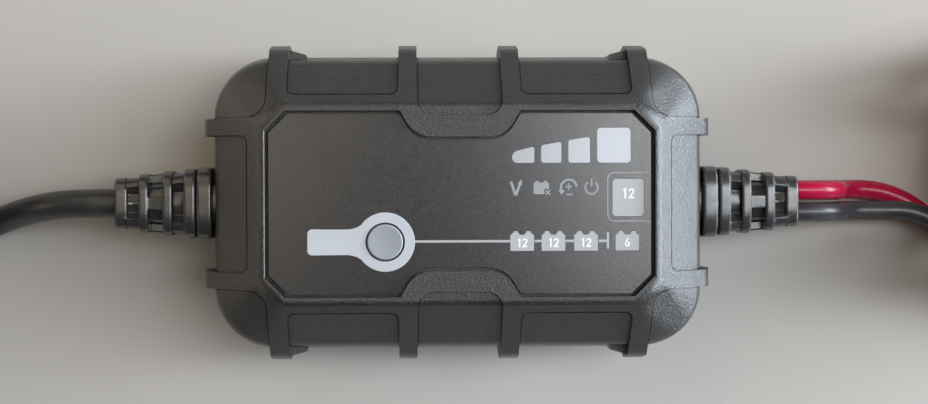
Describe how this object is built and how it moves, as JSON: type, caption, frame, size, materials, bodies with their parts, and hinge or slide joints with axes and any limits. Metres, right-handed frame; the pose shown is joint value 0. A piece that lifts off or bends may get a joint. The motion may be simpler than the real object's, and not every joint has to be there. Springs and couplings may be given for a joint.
{
  "type": "car battery charger",
  "caption": "Compact sealed battery charger with a mode button and light windows, a mains cord with a plug, and red and black leads with spring clamps.",
  "frame": {"origin": "centre of the case's underside, measured without the cords and what is on them", "axes": "+X towards the end that the red and black leads leave, +Y towards the level windows' side of the face, +Z out of the face plate"},
  "size_m": [0.3811, 0.0796, 0.042],
  "materials": {
    "case_plastic": "spark-eroded charcoal",
    "face_plastic": "fine matte",
    "ring_plastic": "matte",
    "window_plastic": "translucent satin",
    "icon_plastic": "translucent satin",
    "button_rubber": "matte",
    "seal_rubber": "matte",
    "boot_rubber": "satin",
    "screw_steel": "satin",
    "label_film": "matte",
    "black_plastic": "matte",
    "guide_acrylic": "frosted clear",
    "circuit_board": "solder mask",
    "light_emitter": "clear",
    "pin_brass": "plated",
    "ferrite": "sintered",
    "choke_ferrite": "coated",
    "enamelled_wire": "enamel",
    "winding_tape": "tape",
    "capacitor_sleeve": "sleeved",
    "film_case": "moulded",
    "sink_aluminium": "extruded",
    "fuse_glass": "clear",
    "wire_sleeve": "satin",
    "cord_black": "satin",
    "lead_red": "satin",
    "lead_black": "satin",
    "plug_black": "satin",
    "blade_brass": "polished",
    "strap_fabric": "hook and loop",
    "clamp_red": "moulded",
    "clamp_black": "moulded",
    "contact_copper": "plated",
    "spring_steel": "wire"
  },
  "bodies": {
    "charger": {"upper_case": "case_plastic", "lower_case": "case_plastic", "case_seal": "seal_rubber", "case_screws": "screw_steel", "rating_plate": "label_film", "face_plate": "face_plastic", "mode_ring": "ring_plastic", "level_windows": "window_plastic", "status_icons": "icon_plastic", "repair_window": "window_plastic", "mode_icons": "window_plastic", "button_switch": "black_plastic", "light_guide": "guide_acrylic", "display_board": "circuit_board", "leds": "light_emitter", "control_chip": "black_plastic", "board_link": "pin_brass", "main_board": "circuit_board", "board_screws": "screw_steel", "transformer_core": "ferrite", "transformer_winding": "winding_tape", "choke_core": "choke_ferrite", "choke_winding": "enamelled_wire", "bulk_capacitor": "capacitor_sleeve", "film_capacitor": "film_case", "output_capacitors": "capacitor_sleeve", "rectifier": "black_plastic", "power_transistors": "black_plastic", "heat_sink": "sink_aluminium", "fuse": "fuse_glass", "ac_boot": "boot_rubber", "dc_boot": "boot_rubber", "ac_wires": "wire_sleeve", "dc_wires": "wire_sleeve", "ac_cord_run": "cord_black", "ac_cord_coil": "cord_black", "ac_cord_tail": "cord_black", "ac_plug": "plug_black", "ac_plug_blades": "blade_brass", "red_lead_run": "lead_red", "red_lead_coil": "lead_red", "red_lead_tail": "lead_red", "black_lead_run": "lead_black", "black_lead_coil": "lead_black", "black_lead_tail": "lead_black", "coil_straps": "strap_fabric", "red_clamp_grip": "clamp_red", "red_grip_plate": "contact_copper", "red_clamp_pin": "screw_steel", "red_clamp_spring": "spring_steel", "black_clamp_grip": "clamp_black", "black_grip_plate": "contact_copper", "black_clamp_pin": "screw_steel", "black_clamp_spring": "spring_steel"},
    "button": {"mode_button": "button_rubber", "switch_plunger": "black_plastic"},
    "red_lever": {"red_clamp_lever": "clamp_red", "red_lever_plate": "contact_copper"},
    "black_lever": {"black_clamp_lever": "clamp_black", "black_lever_plate": "contact_copper"}
  },
  "joints": [
    {"name": "mode_button_press", "type": "slide", "parent": "charger", "child": "button", "axis": [0, 0, -1], "range_m": [0, 0.0006], "stiffness_N_per_m": 1500, "springref_m": -0.0004},
    {"name": "red_clamp_open", "type": "hinge", "parent": "charger", "child": "red_lever", "pos_m": [0.13, 0.0254, 0.0268], "axis": [0, 0, -1], "range_deg": [0, 34], "stiffness_Nm_per_rad": 0.15, "springref_deg": -34.38, "deforming": ["red_clamp_spring"]},
    {"name": "black_clamp_open", "type": "hinge", "parent": "charger", "child": "black_lever", "pos_m": [0.13, -0.0114, 0.0268], "axis": [0, 0, 1], "range_deg": [0, 34], "stiffness_Nm_per_rad": 0.15, "springref_deg": -34.38, "deforming": ["black_clamp_spring"]}
  ]
}
